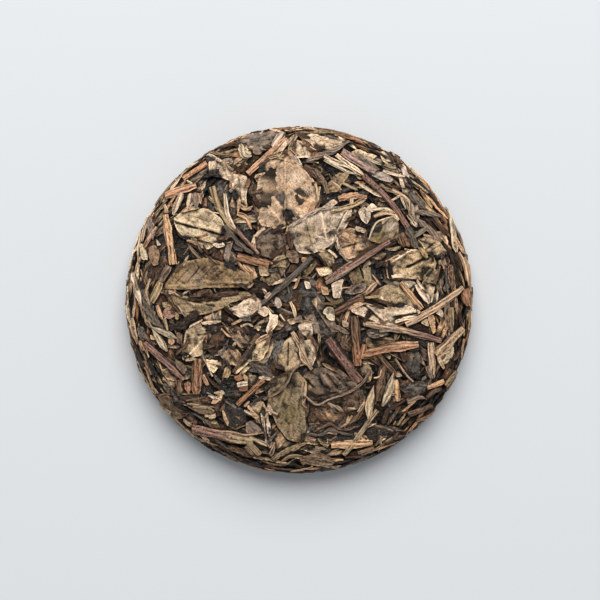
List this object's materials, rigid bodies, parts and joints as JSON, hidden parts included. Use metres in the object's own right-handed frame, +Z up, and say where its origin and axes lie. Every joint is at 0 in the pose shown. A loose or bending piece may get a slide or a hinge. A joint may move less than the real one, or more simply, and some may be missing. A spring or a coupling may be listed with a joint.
{
  "type": "pressed tea cake",
  "caption": "Round pressed cake of white tea: whole leaves, stems and silver buds, domed on top, with a flat ring and a shallow dimple underneath.",
  "frame": {"origin": "middle of the underside, level with the flat ring that the cake rests on", "axes": "+Z up through the dome, +X right and +Y up the page as seen from above"},
  "size_m": [0.1937, 0.1938, 0.0279],
  "materials": {
    "tea": "dry leaf, matt",
    "pale_leaf": "dry leaf, matt, pale",
    "olive_leaf": "dry leaf, matt, olive brown",
    "dark_leaf": "dry leaf, slightly shiny, nearly black",
    "stem": "dry stem, ribbed, slightly shiny",
    "bud": "silver down on a dry bud"
  },
  "bodies": {
    "root": {"tea_cake": "tea"}
  },
  "joints": []
}
